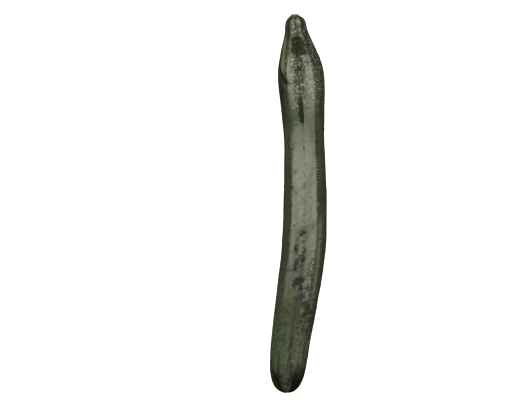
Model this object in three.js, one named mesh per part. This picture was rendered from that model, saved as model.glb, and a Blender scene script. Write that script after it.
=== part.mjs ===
// A long seedless cucumber as picked: one fruit with its short cut stalk, lying on its belly.
// Millimetres, +Z up. The stalk points to +Y and the blossom end to -Y. The bend bulges to +X.
// Along is measured from the cut of the stalk. Angles round the fruit turn from straight up towards +X.
import * as THREE from "three";

const DEGREE = Math.PI / 180;
const UP = new THREE.Vector3(0, 0, 1);

// Driving dimensions
const LENGTH = 330; // cut of the stalk to the tip of the blossom end, measured straight
const CORNERS = 72; // in each ring of the skin
const BODY_RINGS = 34; // between the domes at the ends

// The fruit at stations from the stalk down: bow is how far its spine bends sideways, radius the flesh
// there, and gap the air under its belly. A negative gap presses on the surface it lies on.
const STATIONS = [
  { along: 0, bow: -2.9, radius: 9.0, gap: 7.6 },
  { along: 14, bow: -1.9, radius: 10.1, gap: 6.2 },
  { along: 32, bow: -0.1, radius: 15.6, gap: 2.4 },
  { along: 47, bow: 1.5, radius: 19.6, gap: 0.2 },
  { along: 64, bow: 2.8, radius: 20.1, gap: -0.5 },
  { along: 108, bow: 4.9, radius: 17.8, gap: 0.9 },
  { along: 160, bow: 5.8, radius: 18.9, gap: 0.1 },
  { along: 205, bow: 4.4, radius: 19.3, gap: -0.5 },
  { along: 250, bow: -1.6, radius: 18.4, gap: 0.2 },
  { along: 288, bow: -7.2, radius: 17.0, gap: -0.5 },
  { along: 330, bow: -11.2, radius: 14.6, gap: 2.6 },
];

// Stalk: a short five-angled stub, cut square, that flares into the neck
const STALK_LENGTH = 1.6;
const STALK_ANGLES = 5;
const STALK_ANGLE_DEPTH = 0.09; // as a share of its radius
const STALK_PROFILE = [
  { along: 0, radius: 2.9 },
  { along: 0.25, radius: 3.3 },
  { along: 0.9, radius: 3.4 },
  { along: 1.4, radius: 3.75 },
];

// Domes that close the fruit at both ends, as superellipses
const NECK_DOME = { start: 1.4, length: 9, power: 2.6, rings: 6, firstTurn: 18 * DEGREE };
const TAIL_DOME = { length: 24.6, power: 2.4, rings: 9, lastTurn: 80 * DEGREE };

// Blossom scar: a small rim round a dimple in the tip
const SCAR = { rim: 2.3, floor: 1.3, depth: 0.7 };

// Furrows that run the length of the fruit between broad ribs. Depths are shares of the radius.
const FURROWS = 10;
const FURROW_PITCH = (2 * Math.PI) / FURROWS;
const FURROW_PHASE = -2 * DEGREE; // the furrow nearest the top
const FURROW_BODY = { depth: 0.012, width: 6 * DEGREE };
const FURROW_NECK = { depth: 0.052, from: 20, to: 62 }; // dies away between the two
const FURROW_TAIL = { depth: 0.075, from: 280, to: 320, weak: 0.2 }; // every second furrow stays weak
const FURROW_WIDTH_AT_ENDS = 9 * DEGREE;
const NECK_SPREAD = { turn: 8 * DEGREE, from: 66, to: 100 }; // furrows spread away from the top on the neck
const RIB_FLATNESS = { body: 0.02, neck: 0.045 }; // how much further out a rib's edges are than its middle

// Unevenness of a grown thing: furrows wander and differ, the fruit is slightly three-lobed, and it swells
const WANDER = { turn: -2.5 * DEGREE, pitch: 45, step: 0.6 * Math.PI };
const FURROW_DIFFERENCE = { share: 0.3, step: 2.3 };
const LOBES = { count: 3, depth: 0.009, turn: 0.6 };
const SWELLING = { depth: 0.005, pitch: 34 };

function smoothstep(from, to, value) {
  const share = THREE.MathUtils.clamp((value - from) / (to - from), 0, 1);
  return share * share * (3 - 2 * share);
}

// One column of the stations at any distance along: a cubic through them, with slopes from their neighbours.
function station(column, along) {
  const last = STATIONS.length - 1;
  const slope = (i) => {
    const before = STATIONS[Math.max(i - 1, 0)];
    const after = STATIONS[Math.min(i + 1, last)];
    return (after[column] - before[column]) / (after.along - before.along);
  };
  let i = 0;
  while (i < last - 1 && along > STATIONS[i + 1].along) i += 1;
  const span = STATIONS[i + 1].along - STATIONS[i].along;
  const t = (along - STATIONS[i].along) / span;
  const [t2, t3] = [t * t, t * t * t];
  return (
    (2 * t3 - 3 * t2 + 1) * STATIONS[i][column] +
    (t3 - 2 * t2 + t) * span * slope(i) +
    (3 * t2 - 2 * t3) * STATIONS[i + 1][column] +
    (t3 - t2) * span * slope(i + 1)
  );
}

function spinePoint(along) {
  const height = station("radius", along) + station("gap", along);
  return new THREE.Vector3(station("bow", along), LENGTH / 2 - along, height);
}

// The spine's point, with the directions to the side and up across it.
function spineFrame(along) {
  const step = 0.5;
  const heading = spinePoint(along + step).sub(spinePoint(along - step)).normalize();
  const side = new THREE.Vector3().crossVectors(UP, heading).normalize();
  const up = new THREE.Vector3().crossVectors(heading, side);
  return { origin: spinePoint(along), side, up };
}

// A place round the fruit counted in furrows: whole numbers lie in them, halves on the ribs.
function furrowsRound(along, angle) {
  const onNeck = 1 - smoothstep(NECK_SPREAD.from, NECK_SPREAD.to, along);
  const straight = (angle - FURROW_PHASE - NECK_SPREAD.turn * Math.sin(angle) * onNeck) / FURROW_PITCH;
  return straight - (WANDER.turn * Math.sin(WANDER.step * straight + along / WANDER.pitch)) / FURROW_PITCH;
}

// How much of the radius is left at an angle: furrows between flattened ribs, on lobes and swellings.
function skinShare(along, angle) {
  const neck = 1 - smoothstep(FURROW_NECK.from, FURROW_NECK.to, along);
  const tail = smoothstep(FURROW_TAIL.from, FURROW_TAIL.to, along);
  const width = THREE.MathUtils.lerp(FURROW_BODY.width, FURROW_WIDTH_AT_ENDS, Math.max(neck, tail));
  const round = furrowsRound(along, angle);
  const before = Math.floor(round);
  const across = 2 * (round - before) - 1;
  let share = 1 + LOBES.depth * Math.cos(LOBES.count * angle + LOBES.turn);
  share += SWELLING.depth * Math.sin((2 * Math.PI * along) / SWELLING.pitch + 2 * angle);
  share += THREE.MathUtils.lerp(RIB_FLATNESS.body, RIB_FLATNESS.neck, neck) * across ** 2;
  for (const furrow of [before, before + 1]) {
    const own = THREE.MathUtils.euclideanModulo(furrow, FURROWS);
    const difference = 1 + FURROW_DIFFERENCE.share * Math.sin(FURROW_DIFFERENCE.step * own);
    const strength = own % 2 === 1 ? 1 : FURROW_TAIL.weak;
    const depth =
      FURROW_BODY.depth * difference +
      (FURROW_NECK.depth - FURROW_BODY.depth) * neck +
      (FURROW_TAIL.depth - FURROW_BODY.depth) * tail * strength;
    const off = (round - furrow) * FURROW_PITCH;
    share -= depth * Math.exp(-((off / width) ** 2));
  }
  return share;
}

const stalkShare = (angle) => 1 + STALK_ANGLE_DEPTH * Math.cos(STALK_ANGLES * angle);

const domeShare = (dome, share) => (1 - share ** dome.power) ** (1 / dome.power);

// The rings over the neck's dome. Blend goes from 0 on the stalk to 1 on the skin.
function neckRings() {
  const end = NECK_DOME.start + NECK_DOME.length;
  return Array.from({ length: NECK_DOME.rings }, (_, i) => {
    const turn = THREE.MathUtils.lerp(NECK_DOME.firstTurn, Math.PI / 2, (i + 1) / NECK_DOME.rings);
    const along = end - NECK_DOME.length * Math.cos(turn);
    const radius = station("radius", along) * domeShare(NECK_DOME, Math.cos(turn));
    return { along, radius, blend: smoothstep(STALK_LENGTH, end, along) };
  });
}

function bodyRings(from, to) {
  return Array.from({ length: BODY_RINGS }, (_, i) => {
    const along = THREE.MathUtils.lerp(from, to, (i + 1) / BODY_RINGS);
    return { along, radius: station("radius", along), blend: 1 };
  });
}

function tailRings(from) {
  return Array.from({ length: TAIL_DOME.rings }, (_, i) => {
    const turn = (TAIL_DOME.lastTurn * (i + 1)) / TAIL_DOME.rings;
    const along = from + TAIL_DOME.length * Math.sin(turn);
    const radius = station("radius", along) * domeShare(TAIL_DOME, Math.sin(turn));
    return { along, radius, blend: 1 };
  });
}

// Every ring from the stalk's cut to the blossom scar: where it is, how wide, and how much like the skin.
function profile() {
  const tailStart = LENGTH - TAIL_DOME.length;
  return [
    ...STALK_PROFILE.map((ring) => ({ ...ring, blend: 0 })),
    ...neckRings(),
    ...bodyRings(NECK_DOME.start + NECK_DOME.length, tailStart),
    ...tailRings(tailStart),
    { along: LENGTH, radius: SCAR.rim, blend: 0.4 },
    { along: LENGTH - 0.7 * SCAR.depth, radius: SCAR.floor, blend: 0 },
  ];
}

// The corners of one ring. What would reach below the surface it lies on is pressed flat there.
function ringPoints(ring) {
  const { origin, side, up } = spineFrame(ring.along);
  return Array.from({ length: CORNERS }, (_, j) => {
    const angle = (2 * Math.PI * j) / CORNERS;
    const bare = ring.along < STALK_LENGTH ? stalkShare(angle) : 1;
    const radius = ring.radius * THREE.MathUtils.lerp(bare, skinShare(ring.along, angle), ring.blend);
    const point = origin.clone();
    point.addScaledVector(side, radius * Math.sin(angle));
    point.addScaledVector(up, radius * Math.cos(angle));
    point.z = Math.max(point.z, 0);
    return point;
  });
}

function cucumberGeometry() {
  const rings = profile();
  const points = rings.flatMap(ringPoints);
  const faces = [];
  for (let i = 0; i < rings.length - 1; i += 1) {
    for (let j = 0; j < CORNERS; j += 1) {
      const [a, b] = [i * CORNERS + j, i * CORNERS + ((j + 1) % CORNERS)];
      const [c, d] = [a + CORNERS, b + CORNERS];
      faces.push(a, c, b, b, c, d);
    }
  }
  const cut = points.push(spinePoint(0)) - 1;
  const dimple = points.push(spinePoint(LENGTH - SCAR.depth)) - 1;
  const lastRing = (rings.length - 1) * CORNERS;
  for (let j = 0; j < CORNERS; j += 1) {
    const next = (j + 1) % CORNERS;
    faces.push(cut, j, next);
    faces.push(dimple, lastRing + next, lastRing + j);
  }
  const geometry = new THREE.BufferGeometry().setFromPoints(points);
  geometry.setIndex(faces);
  geometry.computeBoundingBox();
  const middle = geometry.boundingBox.getCenter(new THREE.Vector3());
  geometry.translate(-middle.x, -middle.y, 0);
  geometry.computeVertexNormals();
  return geometry;
}

const skin = new THREE.MeshStandardMaterial({ color: 0x3c4630, roughness: 0.35, metalness: 0 });

const cucumber = new THREE.Mesh(cucumberGeometry(), skin);
cucumber.name = "cucumber";

const part = new THREE.Group();
part.add(cucumber);

export default part;
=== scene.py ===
import math

import bpy
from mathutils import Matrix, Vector, noise


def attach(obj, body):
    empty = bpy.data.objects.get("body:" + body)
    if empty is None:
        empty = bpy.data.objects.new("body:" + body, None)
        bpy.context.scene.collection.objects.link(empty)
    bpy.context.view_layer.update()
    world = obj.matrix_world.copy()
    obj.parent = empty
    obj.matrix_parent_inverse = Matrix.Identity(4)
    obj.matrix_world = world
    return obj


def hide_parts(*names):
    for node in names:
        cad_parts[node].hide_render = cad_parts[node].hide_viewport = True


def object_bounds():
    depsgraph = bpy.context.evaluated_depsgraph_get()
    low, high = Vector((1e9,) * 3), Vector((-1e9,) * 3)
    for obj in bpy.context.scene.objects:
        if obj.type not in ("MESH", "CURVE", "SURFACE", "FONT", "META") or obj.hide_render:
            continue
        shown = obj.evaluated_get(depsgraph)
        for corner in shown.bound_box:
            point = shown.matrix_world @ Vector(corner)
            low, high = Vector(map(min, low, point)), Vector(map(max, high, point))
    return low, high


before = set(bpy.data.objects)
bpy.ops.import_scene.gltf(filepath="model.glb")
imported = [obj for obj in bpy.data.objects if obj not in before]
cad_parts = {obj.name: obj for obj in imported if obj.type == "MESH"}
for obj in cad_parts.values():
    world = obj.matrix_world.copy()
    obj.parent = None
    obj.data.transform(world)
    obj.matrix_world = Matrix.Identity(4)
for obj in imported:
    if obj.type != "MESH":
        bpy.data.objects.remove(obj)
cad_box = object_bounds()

# A long seedless cucumber as picked, lying on its belly: the ribbed fruit, its cut stalk and blossom scar.
# Metres, +Z up. The stalk points to +Y and the bend bulges to +X. Along is measured from the stalk's cut,
# and angles round the fruit turn from straight up towards +X.


# The fruit
# One grown body with ten broad ribs. The furrows between them are deep at the neck and the blossom end and
# faint between. Its dark waxy rind is finely pebbled, sown with low warts, and pressed flat where it lies.
MM = 0.001
LENGTH = 330
ALONG, BOW, RADIUS, GAP = range(4)
STATIONS = (  # millimetres: distance along, sideways bend of the spine, radius, and air under the belly
    (0, -2.9, 9.0, 7.6),
    (14, -1.9, 10.1, 6.2),
    (32, -0.1, 15.6, 2.4),
    (47, 1.5, 19.6, 0.2),
    (64, 2.8, 20.1, -0.5),
    (108, 4.9, 17.8, 0.9),
    (160, 5.8, 18.9, 0.1),
    (205, 4.4, 19.3, -0.5),
    (250, -1.6, 18.4, 0.2),
    (288, -7.2, 17.0, -0.5),
    (330, -11.2, 14.6, 2.6),
)
BEND_SAMPLES = 200
NECK_DOME_START = 1.4
NECK_DOME_LENGTH = 9
NECK_DOME_POWER = 2.6
NECK_DOME_TURNS = (math.radians(12), math.radians(90))
TAIL_DOME_LENGTH = 24.6
TAIL_DOME_POWER = 2.4
TAIL_DOME_TURNS = (math.radians(0), math.radians(80))
RIBS_START = 1.6
RING_COUNTS = {"neck": 24, "body": 416, "tail": 50}
CORNERS = 192

FRUIT_SIZES = {
    "Corners": CORNERS,
    "Furrows": 10.0,
    "Furrow Phase": math.radians(-2),
    "Furrow Wander": math.radians(-2.5),
    "Wander Step": 0.6 * math.pi,
    "Wander Pitch": 45 * MM,
    "Furrow Difference": 0.3,
    "Difference Step": 2.3,
    "Rib Flatness": 0.02,
    "Neck Rib Flatness": 0.045,
    "Body Furrow Depth": 0.009,
    "Neck Furrow Depth": 0.052,
    "Tail Furrow Depth": 0.075,
    "Body Furrow Width": math.radians(3.6),
    "End Furrow Width": math.radians(9),
    "Weak Furrow Share": 0.2,
    "Neck Start": 20 * MM,
    "Neck End": 62 * MM,
    "Tail Start": 280 * MM,
    "Tail End": 320 * MM,
    "Neck Spread": math.radians(8),
    "Spread Start": 66 * MM,
    "Spread End": 100 * MM,
    "Lobes": 3.0,
    "Lobe Depth": 0.009,
    "Lobe Turn": 0.6,
    "Swelling": 0.005,
    "Swelling Pitch": 34 * MM,
    "Fold Depth": 0.035,
    "Fold Width": math.radians(8),
    "Fold Narrowness": 0.35,
    "Fold Widening": 0.8,
    "Fold Start": 36 * MM,
    "Fold End": 64 * MM,
    "Fold Start Angle": math.radians(-88),
    "Fold End Angle": math.radians(-36),
    "Pucker Height": 0.2 * MM,
    "Pucker Pitch": 2.6 * MM,
    "Pucker Drift": 9.0,
    "Pucker Drift Size": 9 * MM,
    "Pucker Patch Size": 14 * MM,
    "Puckers Start": 112 * MM,
    "Puckers Full": 124 * MM,
    "Puckers Fade": 146 * MM,
    "Puckers End": 164 * MM,
    "Pucker Share Left": 0.4,
    "Dent Height": 0.45 * MM,
    "Dent Size": 22 * MM,
    "Wrinkle Height": 0.25 * MM,
    "Wrinkle Size": 3.2 * MM,
    "Pebble Height": 0.09 * MM,
    "Pebble Size": 1.5 * MM,
    "Wart Height": 0.28 * MM,
    "Wart Radius": 1.0 * MM,
    "Wart Spacing": 6.5 * MM,
    "Wart Density": 40000.0,
    "Seed": 11,
}
FOLD_SHARES = (-0.1, 0.45, 0.7, 1.1)  # of its length, where it sets in, is full, fades, and ends
WART_SHARES = (0.35, 1.0)  # of the full height
WARTS_LOST_IN_FURROWS = 0.8
DENT_STRETCH = 1.6
WRINKLE_STRETCH = 7.0
WRINKLES = {"all over": 0.35, "neck": 0.9, "tail": 0.3}
PEBBLES = {"all over": 0.8, "neck": 1.2}
PUCKER_SIDES = (-0.3, 0.3)  # radians: the share left grows to the whole between them
PUCKER_STRETCH = 2.0


def station(column, along):
    """One column of the stations at any distance along: a cubic that takes its slopes from neighbours."""
    last = len(STATIONS) - 1

    def slope(i):
        before = STATIONS[max(i - 1, 0)]
        after = STATIONS[min(i + 1, last)]
        return (after[column] - before[column]) / (after[ALONG] - before[ALONG])

    i = 0
    while i < last - 1 and along > STATIONS[i + 1][ALONG]:
        i += 1
    span = STATIONS[i + 1][ALONG] - STATIONS[i][ALONG]
    t = (along - STATIONS[i][ALONG]) / span
    return (
        (2 * t**3 - 3 * t**2 + 1) * STATIONS[i][column]
        + (t**3 - 2 * t**2 + t) * span * slope(i)
        + (3 * t**2 - 2 * t**3) * STATIONS[i + 1][column]
        + (t**3 - t**2) * span * slope(i + 1)
    )


def smoothstep(start, end, value):
    share = min(max((value - start) / (end - start), 0), 1)
    return share * share * (3 - 2 * share)


def middle_of_bend():
    """The middle of the fruit's width, which the frame puts at X = 0."""
    places = [LENGTH * i / BEND_SAMPLES for i in range(BEND_SAMPLES + 1)]
    left = min(station(BOW, a) - station(RADIUS, a) for a in places)
    right = max(station(BOW, a) + station(RADIUS, a) for a in places)
    return (left + right) / 2


MIDDLE_OF_BEND = middle_of_bend()


def spine_point(along):
    height = station(RADIUS, along) + station(GAP, along)
    return Vector((station(BOW, along) - MIDDLE_OF_BEND, LENGTH / 2 - along, height)) * MM


def dome_share(power, share):
    return (1 - share**power) ** (1 / power)


def between(ends, share):
    return ends[0] + (ends[1] - ends[0]) * share


def skin_rings():
    """Each ring's place along, radius, and how far the ribs have set in, from the stalk to the scar."""
    neck_end = NECK_DOME_START + NECK_DOME_LENGTH
    tail_start = LENGTH - TAIL_DOME_LENGTH
    rings = []
    for i in range(RING_COUNTS["neck"]):
        turn = between(NECK_DOME_TURNS, i / RING_COUNTS["neck"])
        along = neck_end - NECK_DOME_LENGTH * math.cos(turn)
        radius = station(RADIUS, along) * dome_share(NECK_DOME_POWER, math.cos(turn))
        rings.append((along, radius, smoothstep(RIBS_START, neck_end, along)))
    for i in range(RING_COUNTS["body"]):
        along = between((neck_end, tail_start), i / RING_COUNTS["body"])
        rings.append((along, station(RADIUS, along), 1))
    for i in range(RING_COUNTS["tail"] + 1):
        turn = between(TAIL_DOME_TURNS, i / RING_COUNTS["tail"])
        along = tail_start + TAIL_DOME_LENGTH * math.sin(turn)
        radius = station(RADIUS, along) * dome_share(TAIL_DOME_POWER, math.sin(turn))
        rings.append((along, radius, 1))
    return rings


def spine_object(name, rings):
    """The fruit's spine as a line of points that carry their places along, the girth and the ribbing."""
    mesh = bpy.data.meshes.new(name)
    points = [spine_point(along) for along, _, _ in rings]
    mesh.from_pydata(points, [(i, i + 1) for i in range(len(points) - 1)], [])
    for column, (attribute, scale) in enumerate((("along", MM), ("girth", MM), ("ribbing", 1))):
        values = mesh.attributes.new(attribute, "FLOAT", "POINT").data
        values.foreach_set("value", [ring[column] * scale for ring in rings])
    spine = bpy.data.objects.new(name, mesh)
    bpy.context.scene.collection.objects.link(spine)
    return spine


class Field:
    """A value that nodes work out all over a surface. Its sums and functions add their own nodes."""

    def __init__(self, socket):
        self.socket = socket
        self.tree = socket.id_data

    def math(self, operation, *others):
        inputs = dict(enumerate((self, *others)))
        return node(self.tree, "ShaderNodeMath", inputs, operation=operation)

    def vector(self, operation, other=(0, 0, 0), output=0):
        return node(self.tree, "ShaderNodeVectorMath", {0: self, 1: other}, output, operation=operation)

    def dot(self, other):
        return self.vector("DOT_PRODUCT", other, "Value")

    def times(self, scale):
        return node(self.tree, "ShaderNodeVectorMath", {0: self, "Scale": scale}, operation="SCALE")

    def rise(self, start, end, low=0.0, high=1.0):
        """Goes smoothly from low to high while the field goes from start to end."""
        inputs = dict(enumerate((self, start, end, low, high)))
        return node(self.tree, "ShaderNodeMapRange", inputs, interpolation_type="SMOOTHSTEP")

    def fall(self, start, end):
        return self.rise(start, end, 1.0, 0.0)

    def window(self, opening, opened, closing, closed):
        """Goes from 0 up to 1 between the first two places, and down again between the last two."""
        return self.rise(opening, opened) * self.fall(closing, closed)

    def __add__(self, other):
        return self.math("ADD", other)

    def __sub__(self, other):
        return self.math("SUBTRACT", other)

    def __rsub__(self, other):
        return (self * -1.0) + other

    def __mul__(self, other):
        return self.math("MULTIPLY", other)

    def __truediv__(self, other):
        return self.math("DIVIDE", other)

    def __rtruediv__(self, other):
        return self.math("POWER", -1.0) * other

    __radd__ = __add__
    __rmul__ = __mul__


def feed(socket, value):
    """Gives a node's input a field, or a value of its own."""
    if isinstance(value, Field):
        socket.id_data.links.new(value.socket, socket)
    else:
        socket.default_value = value


def node(tree, kind, inputs=None, output=0, **settings):
    """Adds a node, feeds its inputs by name or place, and gives one of its outputs."""
    made = tree.nodes.new(kind)
    for name, value in settings.items():
        setattr(made, name, value)
    for name, value in (inputs or {}).items():
        feed(made.inputs[name], value)
    return Field(made.outputs[output])


def stored(tree, name, kind="FLOAT"):
    return node(tree, "GeometryNodeInputNamedAttribute", {"Name": name}, data_type=kind)


def store(tree, geometry, name, value, kind="FLOAT"):
    inputs = {"Geometry": geometry, "Name": name, "Value": value}
    return node(tree, "GeometryNodeStoreNamedAttribute", inputs, data_type=kind, domain="POINT")


def cloud(tree, place, size, stretch=1.0, detail=2.0, roughness=0.5):
    """Noise with clouds of that size across the fruit, drawn out along it."""
    drawn_out = place.vector("MULTIPLY", (1, 1 / stretch, 1))
    inputs = {"Vector": drawn_out, "Scale": 1 / size, "Detail": detail, "Roughness": roughness}
    return node(tree, "ShaderNodeTexNoise", inputs)


def furrow_bell(furrows_round, number, neck, tail, size):
    """By a furrow's number round the fruit: its depth as a share of the radius, and its bell, 0 to 1."""
    own = number.math("FLOORED_MODULO", size["Furrows"])
    off = (furrows_round - number) * (2 * math.pi) / size["Furrows"]
    widening = neck.math("MAXIMUM", tail)
    width = size["Body Furrow Width"] * (1 - widening) + size["End Furrow Width"] * widening
    bell = ((off / width).math("POWER", 2.0) * -1.0).math("EXPONENT")
    strength = size["Weak Furrow Share"] + (1 - size["Weak Furrow Share"]) * own.math("FLOORED_MODULO", 2.0)
    difference = 1 + (own * size["Difference Step"]).math("SINE") * size["Furrow Difference"]
    depth = (
        size["Body Furrow Depth"] * difference
        + (size["Neck Furrow Depth"] - size["Body Furrow Depth"]) * neck
        + (size["Tail Furrow Depth"] - size["Body Furrow Depth"]) * tail * strength
    )
    return depth * bell, bell


def neck_fold(angle, along, size):
    """A fold aslant down one side of the neck, 0 to 1. It widens on the way and fades at both ends."""
    reached = (along - size["Fold Start"]) / (size["Fold End"] - size["Fold Start"])
    line = size["Fold Start Angle"] + reached * (size["Fold End Angle"] - size["Fold Start Angle"])
    width = size["Fold Width"] * (size["Fold Narrowness"] + reached * size["Fold Widening"])
    off = (angle - line) / width
    return ((off * off) * -1.0).math("EXPONENT") * reached.window(*FOLD_SHARES)


def sow_warts(tree, geometry, bareness, size):
    """The height at each point of warts strewn over the ribs, each with a size of its own."""
    points = node(
        tree,
        "GeometryNodeDistributePointsOnFaces",
        {
            "Mesh": geometry,
            "Distance Min": size["Wart Spacing"],
            "Density Max": size["Wart Density"],
            "Density Factor": bareness,
            "Seed": size["Seed"],
        },
        distribute_method="POISSON",
    )
    smallest, largest = WART_SHARES
    luck = node(tree, "FunctionNodeRandomValue", {2: smallest, 3: largest, "Seed": size["Seed"]}, 1)
    points = store(tree, points, "luck", luck)
    nearest = node(tree, "GeometryNodeSampleNearest", {"Geometry": points}, domain="POINT")
    inputs = {"Geometry": points, "Value": stored(tree, "luck"), "Index": nearest}
    luck_there = node(tree, "GeometryNodeSampleIndex", inputs)
    distance = node(tree, "GeometryNodeProximity", {"Target": points}, "Distance", target_element="POINTS")
    reach = distance / (size["Wart Radius"] * luck_there)
    return (reach.math("POWER", 2.0) * -1.0).math("EXPONENT") * luck_there


def fruit_tree(sizes):
    """The rule of the fruit's form: a circle swept along the spine, furrowed, and roughened like a rind."""
    tree = bpy.data.node_groups.new("ribbed_fruit", "GeometryNodeTree")
    tree.interface.new_socket("Spine", in_out="INPUT", socket_type="NodeSocketGeometry")
    for name, value in sizes.items():
        kind = "NodeSocketInt" if isinstance(value, int) else "NodeSocketFloat"
        tree.interface.new_socket(name, in_out="INPUT", socket_type=kind)
    tree.interface.new_socket("Rind", in_out="INPUT", socket_type="NodeSocketMaterial")
    tree.interface.new_socket("Fruit", in_out="OUTPUT", socket_type="NodeSocketGeometry")
    given = tree.nodes.new("NodeGroupInput")
    size = {name: Field(given.outputs[name]) for name in sizes}

    # A plain tube along the spine
    curve = node(tree, "GeometryNodeMeshToCurve", {"Mesh": Field(given.outputs["Spine"])})
    curve = store(tree, curve, "core", node(tree, "GeometryNodeInputPosition"), "FLOAT_VECTOR")
    curve = store(tree, curve, "heading", node(tree, "GeometryNodeInputTangent"), "FLOAT_VECTOR")
    ring = node(tree, "GeometryNodeCurvePrimitiveCircle", {"Resolution": size["Corners"], "Radius": 1.0})
    sweep = {"Curve": curve, "Profile Curve": ring, "Scale": stored(tree, "girth"), "Fill Caps": True}
    tube = node(tree, "GeometryNodeCurveToMesh", sweep)

    # Where each point lies: its angle round the fruit, and its place on the fruit as if it were straight
    position = node(tree, "GeometryNodeInputPosition")
    core = stored(tree, "core", "FLOAT_VECTOR")
    heading = stored(tree, "heading", "FLOAT_VECTOR")
    spoke = position.vector("SUBTRACT", core)
    side = heading.vector("CROSS_PRODUCT", (0, 0, -1)).vector("NORMALIZE")
    up = heading.vector("CROSS_PRODUCT", side)
    angle = spoke.dot(side).math("ARCTAN2", spoke.dot(up))
    along = stored(tree, "along")
    girth = stored(tree, "girth")
    inputs = {"X": girth * angle.math("SINE"), "Y": along, "Z": girth * angle.math("COSINE")}
    place = node(tree, "ShaderNodeCombineXYZ", inputs)
    tube = store(tree, tube, "place", place, "FLOAT_VECTOR")

    # Ribs and furrows, on lobes and swellings
    neck = along.fall(size["Neck Start"], size["Neck End"])
    tail = along.rise(size["Tail Start"], size["Tail End"])
    spread = size["Neck Spread"] * angle.math("SINE") * along.fall(size["Spread Start"], size["Spread End"])
    furrow_pitch = (2 * math.pi) / size["Furrows"]
    furrows_round = (angle - size["Furrow Phase"] - spread) / furrow_pitch
    wander = (furrows_round * size["Wander Step"] + along / size["Wander Pitch"]).math("SINE")
    furrows_round = furrows_round - wander * size["Furrow Wander"] / furrow_pitch
    before = furrows_round.math("FLOOR")
    depth_before, bell_before = furrow_bell(furrows_round, before, neck, tail, size)
    depth_after, bell_after = furrow_bell(furrows_round, before + 1, neck, tail, size)
    share = 1 + size["Lobe Depth"] * (angle * size["Lobes"] + size["Lobe Turn"]).math("COSINE")
    swelling = (along * (2 * math.pi) / size["Swelling Pitch"] + angle * 2).math("SINE")
    share = share + size["Swelling"] * swelling
    across = (furrows_round - before) * 2 - 1
    flatness = size["Rib Flatness"] + (size["Neck Rib Flatness"] - size["Rib Flatness"]) * neck
    share = share + flatness * across * across - depth_before - depth_after
    fold = neck_fold(angle, along, size)
    share = share - size["Fold Depth"] * fold
    ribbed = 1 + stored(tree, "ribbing") * (share - 1)
    inputs = {"Geometry": tube, "Position": core.vector("ADD", spoke.times(ribbed))}
    tube = node(tree, "GeometryNodeSetPosition", inputs)
    tube = store(tree, tube, "furrow", bell_before + bell_after)
    tube = store(tree, tube, "valley", (depth_before + depth_after) / size["Tail Furrow Depth"])
    tube = store(tree, tube, "fold", fold)

    # The rind's relief: warts, dents, wrinkles, pebbles, and rows of puckers in the furrows
    furrow = stored(tree, "furrow")
    wart = sow_warts(tree, tube, 1 - furrow * WARTS_LOST_IN_FURROWS, size)
    tube = store(tree, tube, "wart", wart)
    place = stored(tree, "place", "FLOAT_VECTOR")
    dents = cloud(tree, place, size["Dent Size"], DENT_STRETCH, 1.0) - 0.5
    wrinkles = cloud(tree, place, size["Wrinkle Size"], WRINKLE_STRETCH) - 0.5
    wrinkles = wrinkles * (WRINKLES["all over"] + neck * WRINKLES["neck"] + tail * WRINKLES["tail"])
    pebbles = cloud(tree, place, size["Pebble Size"], 1.0, 1.0) - 0.5
    pebbles = pebbles * (PEBBLES["all over"] + neck * PEBBLES["neck"])
    relief = dents * size["Dent Height"] + wrinkles * size["Wrinkle Height"]
    relief = relief + pebbles * size["Pebble Height"]
    drift = cloud(tree, place, size["Pucker Drift Size"], 1.0, 1.0) * size["Pucker Drift"]
    puckers = (along * (2 * math.pi) / size["Pucker Pitch"] + drift).math("SINE") * furrow
    stretch = (size["Puckers Start"], size["Puckers Full"], size["Puckers Fade"], size["Puckers End"])
    puckers = puckers * along.window(*stretch)
    puckers = puckers * angle.rise(*PUCKER_SIDES, size["Pucker Share Left"], 1.0)
    puckers = puckers * cloud(tree, place, size["Pucker Patch Size"], PUCKER_STRETCH, 1.0).rise(0.35, 0.5)
    tube = store(tree, tube, "pucker", puckers)
    relief = relief + stored(tree, "pucker") * size["Pucker Height"]
    relief = relief + stored(tree, "wart") * size["Wart Height"]
    normal = node(tree, "GeometryNodeInputNormal")
    offset = normal.times(relief * stored(tree, "ribbing"))
    tube = node(tree, "GeometryNodeSetPosition", {"Geometry": tube, "Offset": offset})

    # What would reach below the floor is pressed flat on it
    parts = {name: node(tree, "ShaderNodeSeparateXYZ", {0: position}, name) for name in "XYZ"}
    pressed = {"X": parts["X"], "Y": parts["Y"], "Z": parts["Z"].math("MAXIMUM", 0.0)}
    inputs = {"Geometry": tube, "Position": node(tree, "ShaderNodeCombineXYZ", pressed)}
    tube = node(tree, "GeometryNodeSetPosition", inputs)

    tube = node(tree, "GeometryNodeSetShadeSmooth", {"Geometry": tube})
    tube = node(tree, "GeometryNodeRealizeInstances", {"Geometry": tube})
    rind = Field(given.outputs["Rind"])
    tube = node(tree, "GeometryNodeSetMaterial", {"Geometry": tube, "Material": rind})
    feed(tree.nodes.new("NodeGroupOutput").inputs[0], tube)
    return tree


def grow(piece, tree, values):
    """Puts the tree on a piece with its sizes, and keeps the plain mesh that comes of it."""
    modifier = piece.modifiers.new("growth", "NODES")
    modifier.node_group = tree
    for item in tree.interface.items_tree:
        if item.in_out == "INPUT" and item.name in values:
            modifier[item.identifier] = values[item.name]
    depsgraph = bpy.context.evaluated_depsgraph_get()
    grown = bpy.data.meshes.new_from_object(
        piece.evaluated_get(depsgraph), preserve_all_data_layers=True, depsgraph=depsgraph
    )
    piece.modifiers.clear()
    piece.data = grown
    return piece


def mix(tree, share, low, high):
    """One colour going over into another."""
    inputs = {0: share, 6: low, 7: high}
    return node(tree, "ShaderNodeMix", inputs, 2, data_type="RGBA")


def bare_material(name):
    material = bpy.data.materials.new(name)
    material.use_nodes = True
    material.node_tree.nodes.clear()
    return material, material.node_tree


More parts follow.
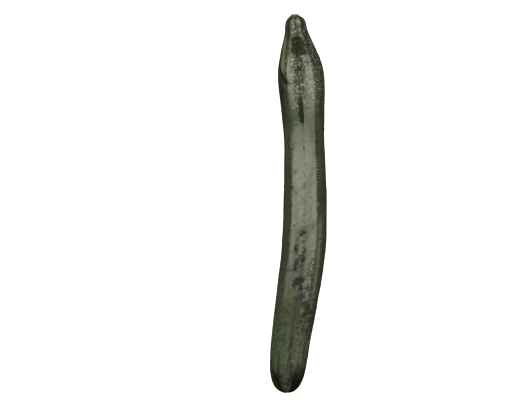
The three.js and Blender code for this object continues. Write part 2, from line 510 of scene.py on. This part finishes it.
def close_material(tree, colour, roughness, height, bump, **constants):
    """Ends a material: colour, roughness and fine height are fields, the rest are plain values."""
    normal = node(tree, "ShaderNodeBump", {"Height": height, "Distance": bump, "Strength": 1.0})
    inputs = {"Base Color": colour, "Roughness": roughness, "Normal": normal}
    inputs.update({name.replace("_", " "): value for name, value in constants.items()})
    shader = node(tree, "ShaderNodeBsdfPrincipled", inputs)
    feed(tree.nodes.new("ShaderNodeOutputMaterial").inputs["Surface"], shader)


def carried(tree, name, output="Fac"):
    """What the piece's own mesh carries under that name."""
    return node(tree, "ShaderNodeAttribute", None, output, attribute_name=name)


def curve_through(tree, value, points):
    """A value that follows a smooth line through pairs of place and height, both from 0 to 1."""
    made = tree.nodes.new("ShaderNodeFloatCurve")
    line = made.mapping.curves[0].points
    line[0].location = points[0]
    line[1].location = points[-1]
    for place, height in points[1:-1]:
        line.new(place, height)
    made.mapping.update()
    feed(made.inputs["Value"], value)
    return Field(made.outputs[0])


BLOOM_BY_PLACE = (  # millimetres along, and how much of the wax bloom is left on top
    (0, 0.6),
    (22, 0.75),
    (50, 1.0),
    (68, 0.68),
    (84, 0.5),
    (105, 0.62),
    (130, 0.95),
    (165, 1.0),
    (190, 0.95),
    (230, 0.62),
    (260, 0.45),
    (330, 0.4),
)
RIND_CLOUDS = {  # millimetres across, how far drawn out along the fruit, octaves, and roughness
    "streaks": (3.5, 22.0, 3.0, 0.5),
    "fibres": (0.9, 30.0, 2.0, 0.5),
    "specks": (1.1, 1.0, 2.0, 0.5),
    "mottle": (2.2, 1.0, 4.0, 0.7),
    "stains": (3.0, 1.2, 4.0, 0.65),
    "patches": (8.0, 1.5, 6.0, 0.66),
    "chips": (4.5, 1.2, 5.0, 0.6),
    "hues": (12.0, 2.0, 4.0, 0.6),
    "drift": (7.0, 1.0, 4.0, 0.6),
    "grit": (0.8, 1.3, 3.0, 0.6),
}
SLANTING_CLOUDS = ("patches", "chips")
SLANT = 0.6
NET_SIZES = (4.4, 3.1)
SCRIBBLE_SIZE = 4
DRIFT_ALONG = 20  # millimetres by which the regions' edges stray
DRIFT_ROUND = {"stains": 16, "hues": 12}  # degrees by which they stray, by the cloud that they follow
RIND_REGIONS = {  # millimetres along and degrees round: each sets in over two numbers and fades over two
    "highlit left rib": ((18, 30, 72, 100), (-60, -50, -26, -19)),
    "dark rib": ((10, 24, 58, 80), (-25, -16, 4, 14)),
    "dark line": ((20, 32, 72, 80), (-15, -8, 4, 10)),
    "blotch": ((18, 26, 36, 44), (-31, -16, 8, 34)),
    "dim shoulder": ((2, 12, 44, 60), (-40, -26, 60, 90)),
    "highlit right rib": ((42, 54, 74, 92), (8, 18, 42, 56)),
    "netting": ((0, 9, 64, 96), (-28, -20, 70, 104)),
    "tan shoulder": ((16, 26, 46, 58), (-64, -54, -36, -28)),
    "crease shade": ((46, 56, 66, 82), (-86, -76, -54, -46)),
    "streak": ((66, 84, 92, 99), (-14, -9, -1, 4)),
    "cool": ((80, 92, 150, 175), (-34, -28, -2, 6)),
    "scuffed": ((172, 198, 236, 254), (-28, -18, 2, 14)),
    "scribbled": ((200, 214, 240, 254), (8, 16, 36, 46)),
    "highlit flank": ((165, 190, 238, 256), (28, 33, 46, 55)),
    "pale side": ((234, 246, 298, 308), (6, 16, 48, 58)),
    "broken wax": ((214, 232, 246, 256), (-16, -6, 34, 44)),
    "worn belt": ((225, 231, 238, 244), (-24, -12, 36, 48)),
    "dusky": ((252, 261, 267, 276), (-6, 8, 60, 80)),
    "green": ((225, 245, 290, 330), (-75, -65, -16, -4)),
    "right wedge": ((307, 310, 340, 350), (15, 20, 110, 140)),
    "left wedge": ((311, 318, 340, 350), (-85, -70, -32, -23)),
}
NECK_FADES = (60, 100)  # this one and the next six are millimetres along
TAIL_SETS_IN = (255, 300)
TIP_DULLS = (304, 314)
WEDGE_DEEPENS = (310, 320)
DARK_LINE_FADES = (52, 66)
SHOULDER_RING = (56, 68, 84, 100)
TIP_RING = (300, 308, 316, 324)
# degrees off the top where painted highlight specks and painted shade set in on the flanks
FLANK_TURNS = {"specks": (38, 52), "shade": (38, 50)}  # degrees off the top
# degrees round where the puckers carry painted highlights
HIGHLIT_BEAD_TURNS = (14, 22, 50, 60)
TIP_STROKE = {"middle": 318, "slant": 1.8, "turns": (-54, -48, -38, -31), "lengths": (308, 313, 340, 350)}
THREAD_HEIGHT = 8.0
RIND_BUMP = 0.06 * MM
RIND_COLOURS = {
    "wax": (0.025, 0.028, 0.0225, 1),
    "pale wax": (0.035, 0.039, 0.031, 1),
    "fibre": (0.048, 0.054, 0.042, 1),
    "leaf green": (0.025, 0.038, 0.020, 1),
    "warm grey": (0.044, 0.046, 0.034, 1),
    "fresh green": (0.048, 0.068, 0.026, 1),
    "cool green": (0.034, 0.045, 0.034, 1),
    "blossom end": (0.068, 0.072, 0.055, 1),
    # painted shade down the furrows, also used for dark patches at the blossom end
    "furrow": (0.010, 0.013, 0.010, 1),
    # painted shade in the deep furrows
    "valley": (0.010, 0.016, 0.006, 1),
    # near black: where the wax is rubbed off, and also painted shade
    "rubbed wax and shade": (0.008, 0.011, 0.008, 1),
    "wart": (0.070, 0.080, 0.055, 1),
    # painted highlight on the puckers
    "bead highlight": (0.225, 0.240, 0.195, 1),
    # pale cream: painted highlights on the neck's ribs and the flanks, and a pale tone in places lower down
    "cream": (0.100, 0.105, 0.078, 1),
    # painted highlight on the net's threads
    "thread highlight": (0.225, 0.230, 0.182, 1),
    "tan": (0.160, 0.148, 0.108, 1),
    "bottle green": (0.003, 0.006, 0.0015, 1),
}


def off_threads(tree, place, size):
    """How far off the nearest of thin lines that meander like the threads of a net, 0 on them."""
    return (cloud(tree, place, size * MM) - 0.5).math("ABSOLUTE")


def darkest(*fields):
    """The highest of several shares of darkness."""
    highest = fields[0]
    for field in fields[1:]:
        highest = highest.math("MAXIMUM", field)
    return highest


def rind_clouds(tree, place):
    """The rind's own irregularities, by name. Some lie aslant."""
    aslant = {"X": place.dot((1, SLANT, 0)), "Y": place.dot((0, 1, 0)), "Z": place.dot((0, 0, 1))}
    aslant = node(tree, "ShaderNodeCombineXYZ", aslant)
    clouds = {}
    for name, (size, stretch, detail, roughness) in RIND_CLOUDS.items():
        where = aslant if name in SLANTING_CLOUDS else place
        clouds[name] = cloud(tree, where, size * MM, stretch, detail, roughness)
    return clouds


def rind_material():
    """Grey-green wax over green: netted at the neck, scuffed lower down, greener at the blossom end. Its
    colour also holds painted highlights on the neck's threads and ribs, the flanks and the puckers, and
    painted shade in the furrows and the neck's fold.
    """
    material, tree = bare_material("waxy_rind")
    place = carried(tree, "place", "Vector")
    along = carried(tree, "along") / MM
    angle = place.dot((1, 0, 0)).math("ARCTAN2", place.dot((0, 0, 1))) * (180 / math.pi)
    furrow = carried(tree, "furrow")
    valley = carried(tree, "valley")
    fold = carried(tree, "fold")
    pucker = carried(tree, "pucker")
    neck = along.fall(*NECK_FADES)
    tail = along.rise(*TAIL_SETS_IN)

    clouds = rind_clouds(tree, place)
    streaks = clouds["streaks"]
    specks = clouds["specks"]
    mottle = clouds["mottle"]
    stains = clouds["stains"]
    patches = clouds["patches"]
    chips = clouds["chips"]
    hues = clouds["hues"]
    down = along + (clouds["drift"] - 0.5) * DRIFT_ALONG
    turn = angle
    for name, degrees in DRIFT_ROUND.items():
        turn = turn + (clouds[name] - 0.5) * degrees
    off_top = turn.math("ABSOLUTE")
    here = {}
    for name, (lengths, turns) in RIND_REGIONS.items():
        here[name] = down.window(*lengths) * turn.window(*turns)

    # The net of thin raised threads, painted pale as highlights, and the dark rind in its gaps
    off_net = off_threads(tree, place, NET_SIZES[0]).math("MINIMUM", off_threads(tree, place, NET_SIZES[1]))
    highlit_net = off_net.fall(0.0, 0.028) * here["netting"] * stains.rise(0.38, 0.5)
    closeness = here["netting"] * 0.4 + here["dark rib"] * 0.4 + here["dim shoulder"] * 0.4
    gaps = off_net.rise(0.02, 0.07) * closeness.math("MINIMUM", 0.95)

    # Where the rind is darker: the wax rubbed off or stained, painted shade in the neck's crease and down
    # the furrows, and darker patches on the neck
    wear = patches + here["scuffed"] * 0.16 + here["worn belt"] * 0.07 + here["dusky"] * 0.08
    wear = wear + (mottle - 0.5) * 0.5 - 0.09
    dark = darkest(
        wear.rise(0.42, 0.66) * 0.65 + wear.rise(0.57, 0.63) * 0.4,
        # darker down the furrows, the more so the deeper they are: partly stains, partly painted shade
        (stains + valley * 0.25 + neck * 0.1).rise(0.56, 0.7) * furrow * (1 - tail),
        here["dark rib"] * 0.75,
        here["dim shoulder"] * 0.4,
        here["dark line"] * (mottle + 0.14).rise(0.42, 0.58) * 0.9,
        gaps,
        here["netting"] * mottle.rise(0.54, 0.62) * 0.7,
        off_threads(tree, place, SCRIBBLE_SIZE).fall(0.02, 0.07) * here["scribbled"] * 0.8,
        # painted shade in the neck's crease
        here["crease shade"] * 0.7,
        here["broken wax"] * chips.rise(0.51, 0.57) * 0.65,
    )

    # Where the rind is almost black, with a painted shadow down the neck's fold
    stroke = (turn - (along - TIP_STROKE["middle"]) * TIP_STROKE["slant"]).window(*TIP_STROKE["turns"])
    line_left = down.fall(*DARK_LINE_FADES)
    deep = darkest(
        here["left wedge"] * 0.7,
        here["right wedge"] * (0.5 + along.rise(*WEDGE_DEEPENS) * 0.5),
        stroke * along.window(*TIP_STROKE["lengths"]),
        # painted shadow in the neck's fold
        fold.rise(0.15, 0.75) * 0.95,
        (here["blotch"] + (stains - 0.5) * 4).rise(0.3, 0.6) * here["blotch"].rise(0.0, 0.35),
        (here["streak"] + (stains - 0.5) * 3.5).rise(0.25, 0.6) * here["streak"].rise(0.0, 0.3),
        here["dark line"] * (stains + (mottle - 0.5) * 0.5).rise(0.42, 0.54) * line_left * 0.75,
    )

    # The colours, each laid over those before it
    tones = (
        ("pale wax", streaks.rise(0.35, 0.65)),
        ("fibre", clouds["fibres"].rise(0.3, 0.8) * 0.5),
        ("leaf green", hues.rise(0.5, 0.7) * 0.6),
        ("warm grey", hues.fall(0.3, 0.5) * 0.5),
        ("cool green", here["cool"] * 0.4),
        # pale specks on the flanks: painted highlights
        ("cream", off_top.rise(*FLANK_TURNS["specks"]) * specks.rise(0.58, 0.68) * 0.4),
        # painted highlights on two of the neck's ribs
        ("cream", here["highlit right rib"] * 0.55),
        ("cream", here["highlit left rib"] * 0.3),
        ("tan", here["tan shoulder"] * 0.75),
        # a painted highlight down one rib of the right flank
        ("cream", here["highlit flank"] * (patches + 0.1).rise(0.44, 0.5) * 0.9),
        ("cream", here["pale side"] * (chips + (mottle - 0.5) * 0.4).fall(0.47, 0.52) * 0.75),
        ("rubbed wax and shade", here["pale side"] * chips.rise(0.52, 0.57) * 0.5),
        # painted shade down the furrows
        ("furrow", furrow.math("POWER", 0.5) * 0.4 * (1 - tail * 0.8)),
        ("blossom end", tail * (patches + (mottle - 0.5) * 0.4).rise(0.48, 0.53) * 0.7),
        ("furrow", tail * (patches + (streaks - 0.5) * 0.5).fall(0.45, 0.5) * 0.4),
        ("blossom end", tail * streaks.rise(0.52, 0.62) * 0.4),
        ("rubbed wax and shade", tail * (streaks + (chips - 0.5) * 0.5).fall(0.43, 0.48) * 0.6),
        ("cream", tail * (chips + (mottle - 0.5) * 0.3).rise(0.56, 0.6) * 0.7),
        # darker in a ring near the blossom end
        ("rubbed wax and shade", along.window(*TIP_RING) * 0.35),
        # painted shade on the flanks round the shoulder
        ("rubbed wax and shade", along.window(*SHOULDER_RING) * off_top.rise(*FLANK_TURNS["shade"]) * 0.45),
        ("fresh green", here["green"] * hues.rise(0.35, 0.6) * 0.55),
        ("rubbed wax and shade", here["green"] * chips.rise(0.5, 0.56) * 0.45),
        ("rubbed wax and shade", here["green"] * mottle.rise(0.5, 0.58) * 0.5),
        ("cream", here["green"] * specks.rise(0.56, 0.64) * 0.55),
        # painted shade in the deep furrows, less at the blossom end and on the tan shoulder
        ("valley", valley.rise(0.3, 0.8) * (1 - tail * 0.6) * (1 - here["tan shoulder"] * 0.7) * 0.8),
        # rubbed wax, stains and painted shade, by the darkness share below
        ("rubbed wax and shade", dark * 0.85),
        ("wart", carried(tree, "wart").rise(0.45, 0.9) * 0.35),
        # painted highlights on the puckers in the furrows down the right side
        ("bead highlight", pucker.rise(0.45, 0.8) * turn.window(*HIGHLIT_BEAD_TURNS) * 0.9),
        ("bottle green", deep * 0.92),
        # the net's threads painted pale as highlights
        ("thread highlight", highlit_net * (1 - deep * 0.7) * 0.95),
    )
    colour = RIND_COLOURS["wax"]
    for name, share in tones:
        colour = mix(tree, share, colour, RIND_COLOURS[name])

    # The bloom of wax on top, which shines where it isn't rubbed off
    bloom = curve_through(tree, along / LENGTH, [(a / LENGTH, b) for a, b in BLOOM_BY_PLACE])
    grain = specks.rise(0.4, 0.6) * 0.18 + mottle.rise(0.4, 0.6) * 0.26 + streaks.rise(0.4, 0.6) * 0.18
    bloom = bloom * (0.49 + grain) * (1 - along.rise(*TIP_DULLS) * 0.5) * (1 + here["broken wax"] * 0.6)
    bloom = bloom * (1 - here["green"] * 0.45)
    coat = bloom * (1 - dark * 0.9) * (1 - valley * 0.6) + highlit_net * 0.5
    coat = coat * (1 - deep * 0.97)
    close_material(
        tree,
        colour,
        0.3 + dark * 0.2 + streaks * 0.08,
        clouds["grit"] + highlit_net * THREAD_HEIGHT,
        RIND_BUMP,
        Coat_Weight=coat,
        Coat_Roughness=0.16,
        Coat_IOR=1.7,
        Specular_IOR_Level=0.05,
    )
    return material


skin = spine_object("skin", skin_rings())
grow(skin, fruit_tree(FRUIT_SIZES), {**FRUIT_SIZES, "Rind": rind_material()})
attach(skin, "root")
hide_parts("cucumber")


# The stalk
# A short five-angled stub of the dry stem, cut square with a knife.
# It grew out of the neck and flares into it. Its foot is bedded in the fruit.
STALK_CUT = LENGTH / 2 * MM
STALK_ANGLES = 5
STALK_ANGLE_DEPTH = 0.09
STALK_CORNERS = 120
STALK_ROWS = (  # millimetres: distance along, radius. From the buried foot over the cut edge to the pith
    (3.6, 5.6),
    (2.6, 5.0),
    (1.9, 4.5),
    (1.4, 4.1),
    (1.0, 3.75),
    (0.7, 3.5),
    (0.45, 3.38),
    (0.25, 3.32),
    (0.12, 3.2),
    (0.02, 3.0),
    (0.05, 2.75),
    (0.16, 2.5),
    (0.2, 2.1),
    (0.14, 1.7),
    (0.16, 1.3),
    (0.3, 0.9),
    (0.42, 0.45),
)
STALK_PITH = 0.45
STALK_SIDE = (1.5, 3.2)
STALK_FIBRES = 0.09
FIBRES_ROUND = 9
FIBRES_ALONG = 0.35
CUT_RAGGEDNESS = 0.16
CUT_REACHES = (2.4, 0.6)
STALK_COLOURS = {
    "stem": (0.032, 0.037, 0.02, 1),
    "fibre": (0.075, 0.075, 0.042, 1),
    "spot": (0.03, 0.026, 0.014, 1),
    "cut": (0.26, 0.24, 0.15, 1),
    "cut's spot": (0.14, 0.125, 0.07, 1),
}


def turned_piece(name, rows, pole, corners, uneven):
    """Rings round the spine, closed by a flat foot at the first and by a point past the last."""
    points = []
    for along, radius in rows:
        centre = spine_point(along)
        for j in range(corners):
            angle = 2 * math.pi * j / corners
            reach, push = uneven(angle, along, radius)
            out = Vector((math.sin(angle), 0, math.cos(angle)))
            points.append(centre + out * (radius * reach * MM) + Vector((0, push * MM, 0)))
    faces = []
    for i in range(len(rows) - 1):
        for j in range(corners):
            here = i * corners + j
            beside = i * corners + (j + 1) % corners
            faces.append((here, here + corners, beside + corners, beside))
    last = (len(rows) - 1) * corners
    points.append(spine_point(pole))
    for j in range(corners):
        faces.append((last + j, len(points) - 1, last + (j + 1) % corners))
    faces.append(tuple(range(corners)))
    mesh = bpy.data.meshes.new(name)
    mesh.from_pydata(points, [], faces)
    mesh.polygons.foreach_set("use_smooth", [True] * len(faces))
    piece = bpy.data.objects.new(name, mesh)
    bpy.context.scene.collection.objects.link(piece)
    return piece


def stalk_unevenness(angle, along, radius):
    """Five blunt angles and fine fibres down the sides, which fade into the ragged cut."""
    side = smoothstep(*STALK_SIDE, radius)
    x = math.sin(angle)
    z = math.cos(angle)
    fibre = noise.noise(Vector((x * FIBRES_ROUND, z * FIBRES_ROUND, along * FIBRES_ALONG)))
    reach = 1 + STALK_ANGLE_DEPTH * math.cos(STALK_ANGLES * angle) * side + STALK_FIBRES * fibre * side
    ragged = noise.noise(Vector((x * radius, z * radius, 3.7)))
    return reach, CUT_RAGGEDNESS * ragged * smoothstep(*CUT_REACHES, along)


def stalk_material():
    """Dry brown-green fibre outside, with darker spots. The cut is bleached and mottled."""
    material, tree = bare_material("dry_stalk")
    where = node(tree, "ShaderNodeTexCoord", None, "Object")
    fibres = cloud(tree, where, 0.5 * MM, 8.0, 3.0)
    spots = cloud(tree, where, 0.9 * MM, 1.0, 2.0)
    cut = where.dot((0, 1, 0)).rise(STALK_CUT - 0.7 * MM, STALK_CUT - 0.1 * MM)
    colour = mix(tree, fibres.rise(0.3, 0.7), STALK_COLOURS["stem"], STALK_COLOURS["fibre"])
    colour = mix(tree, spots.rise(0.6, 0.7) * 0.6, colour, STALK_COLOURS["spot"])
    face = mix(tree, spots.rise(0.4, 0.6), STALK_COLOURS["cut"], STALK_COLOURS["cut's spot"])
    colour = mix(tree, cut, colour, face)
    close_material(tree, colour, 0.75 + fibres * 0.15, fibres, 0.12 * MM, Specular_IOR_Level=0.3)
    return material


stalk = turned_piece("stalk", STALK_ROWS, STALK_PITH, STALK_CORNERS, stalk_unevenness)
stalk.data.materials.append(stalk_material())
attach(stalk, "root")
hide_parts("cucumber")


# The blossom scar
# A corky little crater where the flower dropped off: a broken rim, healed over, round a shallow dimple.
# Its foot is bedded in the fruit too.
SCAR_CORNERS = 96
SCAR_ROWS = (  # millimetres: distance along, radius. From the buried foot over the rim into the dimple
    (329.0, 3.4),
    (329.4, 3.25),
    (329.7, 2.95),
    (329.92, 2.55),
    (330.0, 2.2),
    (329.95, 1.9),
    (329.84, 1.6),
    (329.76, 1.25),
    (329.72, 0.85),
    (329.7, 0.4),
)
SCAR_FLOOR = 329.7
RIM_WAVE = 0.16
RIM_WAVE_FINENESS = 1.6
RIM_CRUMBS = 0.12
RIM_CRUMB_FINENESS = 1.4
RIM_CRUMBS_SET_IN = (0.4, 1.6)
SCAR_COLOURS = {"crack": (0.035, 0.032, 0.017, 1), "cork": (0.13, 0.115, 0.065, 1)}


def scar_unevenness(angle, along, radius):
    """A rim that wavers in width and height."""
    x = math.sin(angle)
    z = math.cos(angle)
    wave = noise.noise(Vector((x * RIM_WAVE_FINENESS, z * RIM_WAVE_FINENESS, 8.1)))
    crumb = noise.noise(Vector((x * radius * RIM_CRUMB_FINENESS, z * radius * RIM_CRUMB_FINENESS, 2.2)))
    return 1 + RIM_WAVE * wave, RIM_CRUMBS * crumb * smoothstep(*RIM_CRUMBS_SET_IN, radius)


def scar_material():
    """Tan cork with darker cracks."""
    material, tree = bare_material("corky_scar")
    where = node(tree, "ShaderNodeTexCoord", None, "Object")
    crumbs = cloud(tree, where, 0.6 * MM, 1.0, 4.0, 0.65)
    colour = mix(tree, crumbs.rise(0.4, 0.62), SCAR_COLOURS["crack"], SCAR_COLOURS["cork"])
    close_material(tree, colour, 0.8, crumbs, 0.15 * MM, Specular_IOR_Level=0.25)
    return material


scar = turned_piece("scar", SCAR_ROWS, SCAR_FLOOR, SCAR_CORNERS, scar_unevenness)
scar.data.materials.append(scar_material())
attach(scar, "root")
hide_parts("cucumber")


# The floor and the studio
# A plain pale floor that glows a little, under one wide soft box that dims towards the blossom end.
# The fruit's dark flanks mirror the dim room and not the floor.
MM_PER_PIXEL = 0.87
PICTURE_WIDTH = 512
CAMERA_HEIGHT = 1.6
CAMERA_X = -36.4 * MM
CAMERA_Y = 3.0 * MM
SENSOR_WIDTH = 36.0
SOFT_BOX_HEIGHT = 1.0
SOFT_BOX_SIDES = (-7.0, 2.1)
SOFT_BOX_ENDS = (-1.6, 4.0)
SOFT_BOX_FADE = (-0.21, -0.03)
SOFT_BOX_FADE_SLANT = 0.25
SOFT_BOX_DIMMEST = 0.1
SOFT_BOX_GLOW = 3.1
SOFT_BOX_COLOUR = (0.98, 1.0, 0.785)
FLOOR_HALF_WIDTH = 8.0
FLOOR_COLOUR = (0.8, 0.8, 0.8, 1)
FLOOR_GLOW = 0.85
DIM_ROOM_COLOUR = (0.02, 0.02, 0.02, 1)


def pale_floor():
    material, tree = bare_material("pale_floor")
    inputs = {"Base Color": FLOOR_COLOUR, "Roughness": 0.9, "Emission Color": (1, 1, 1, 1)}
    shader = node(tree, "ShaderNodeBsdfPrincipled", {**inputs, "Emission Strength": FLOOR_GLOW})
    feed(tree.nodes.new("ShaderNodeOutputMaterial").inputs["Surface"], shader)
    mesh = bpy.data.meshes.new("floor")
    half = FLOOR_HALF_WIDTH
    corners = [(-half, -half, 0), (half, -half, 0), (half, half, 0), (-half, half, 0)]
    mesh.from_pydata(corners, [], [(0, 1, 2, 3)])
    mesh.materials.append(material)
    floor = bpy.data.objects.new("floor", mesh)
    bpy.context.scene.collection.objects.link(floor)
    floor.visible_glossy = False
    floor.visible_diffuse = False
    return floor


def soft_box():
    width = SOFT_BOX_SIDES[1] - SOFT_BOX_SIDES[0]
    length = SOFT_BOX_ENDS[1] - SOFT_BOX_ENDS[0]
    lamp = bpy.data.lights.new("soft_box", "AREA")
    lamp.shape = "RECTANGLE"
    lamp.size = width
    lamp.size_y = length
    lamp.color = SOFT_BOX_COLOUR
    lamp.energy = SOFT_BOX_GLOW * math.pi * width * length
    lamp.use_nodes = True
    tree = lamp.node_tree
    across = node(tree, "ShaderNodeNewGeometry", None, "Parametric")
    to_the_right = (across.dot((width, 0, 0)) + SOFT_BOX_SIDES[0]).math("MAXIMUM", 0.0)
    place = across.dot((0, length, 0)) + SOFT_BOX_ENDS[0] + to_the_right * SOFT_BOX_FADE_SLANT
    emission = next(n for n in tree.nodes if n.type == "EMISSION")
    feed(emission.inputs["Strength"], place.rise(*SOFT_BOX_FADE, SOFT_BOX_DIMMEST, 1.0))
    box = bpy.data.objects.new("soft_box", lamp)
    box.location = (sum(SOFT_BOX_SIDES) / 2, sum(SOFT_BOX_ENDS) / 2, SOFT_BOX_HEIGHT)
    bpy.context.scene.collection.objects.link(box)


pale_floor()
soft_box()

world = bpy.data.worlds.new("dim_room")
world.use_nodes = True
world.node_tree.nodes["Background"].inputs["Color"].default_value = DIM_ROOM_COLOUR
bpy.context.scene.world = world
bpy.context.scene.view_settings.view_transform = "Standard"

camera = bpy.data.objects.new("camera", bpy.data.cameras.new("camera"))
camera.location = (CAMERA_X, CAMERA_Y, CAMERA_HEIGHT)
camera.data.sensor_width = SENSOR_WIDTH
middle_height = (cad_box[0].z + cad_box[1].z) / 2
camera.data.lens = SENSOR_WIDTH * (CAMERA_HEIGHT - middle_height) / (PICTURE_WIDTH * MM_PER_PIXEL * MM)
bpy.context.scene.collection.objects.link(camera)
bpy.context.scene.camera = camera
